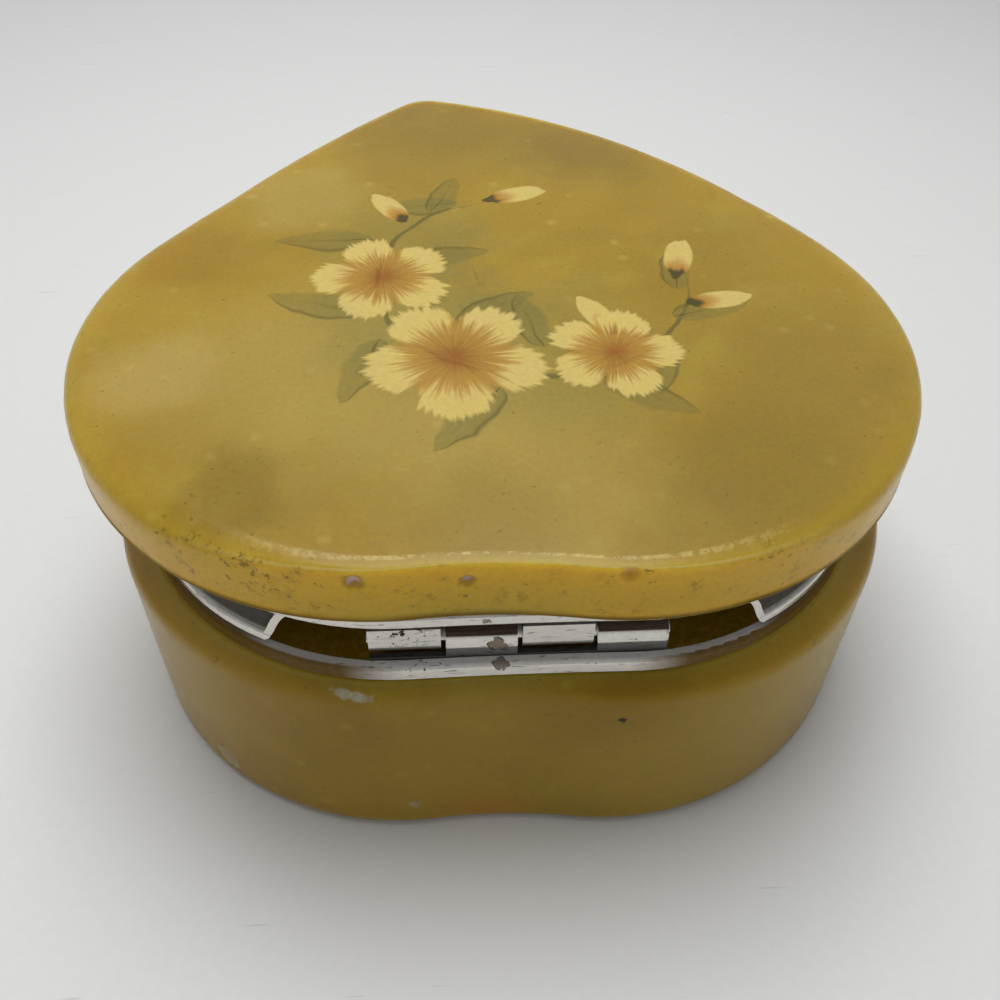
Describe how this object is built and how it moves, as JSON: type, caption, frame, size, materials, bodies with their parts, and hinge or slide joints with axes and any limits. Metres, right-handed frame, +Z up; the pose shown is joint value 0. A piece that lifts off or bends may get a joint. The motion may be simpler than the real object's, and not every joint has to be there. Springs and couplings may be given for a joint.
{
  "type": "trinket box",
  "caption": "Heart-shaped carved stone trinket box with a hollowed base, a hinged slab lid, plated metal rims round the mouth and a rolled leaf hinge at the notch.",
  "frame": {"origin": "on the table under the middle of the closed box's outline, at the flat underside of the base", "axes": "+Z up, +Y towards the hinge and the notch of the heart, -Y towards the tip, +X across the lobes"},
  "size_m": [0.12, 0.1176, 0.0596],
  "materials": {
    "alabaster": "honey alabaster, carved and polished with wax",
    "plaster": "matt bedding plaster",
    "plated_rim": "nickel-plated rolled strip, worn",
    "pin_wire": "drawn wire"
  },
  "bodies": {
    "base": {"alabaster_base": "alabaster", "base_bedding": "plaster", "base_band": "plated_rim", "base_hinge_leaf": "plated_rim", "hinge_pin": "pin_wire"},
    "lid": {"alabaster_lid": "alabaster", "lid_bedding": "plaster", "lid_band": "plated_rim", "lid_hinge_leaf": "plated_rim"}
  },
  "joints": [
    {"name": "lid_hinge", "type": "hinge", "parent": "base", "child": "lid", "pos_m": [-0.00025, 0.05292, 0.041], "axis": [-1, 0, 0], "range_deg": [0, 95]}
  ]
}
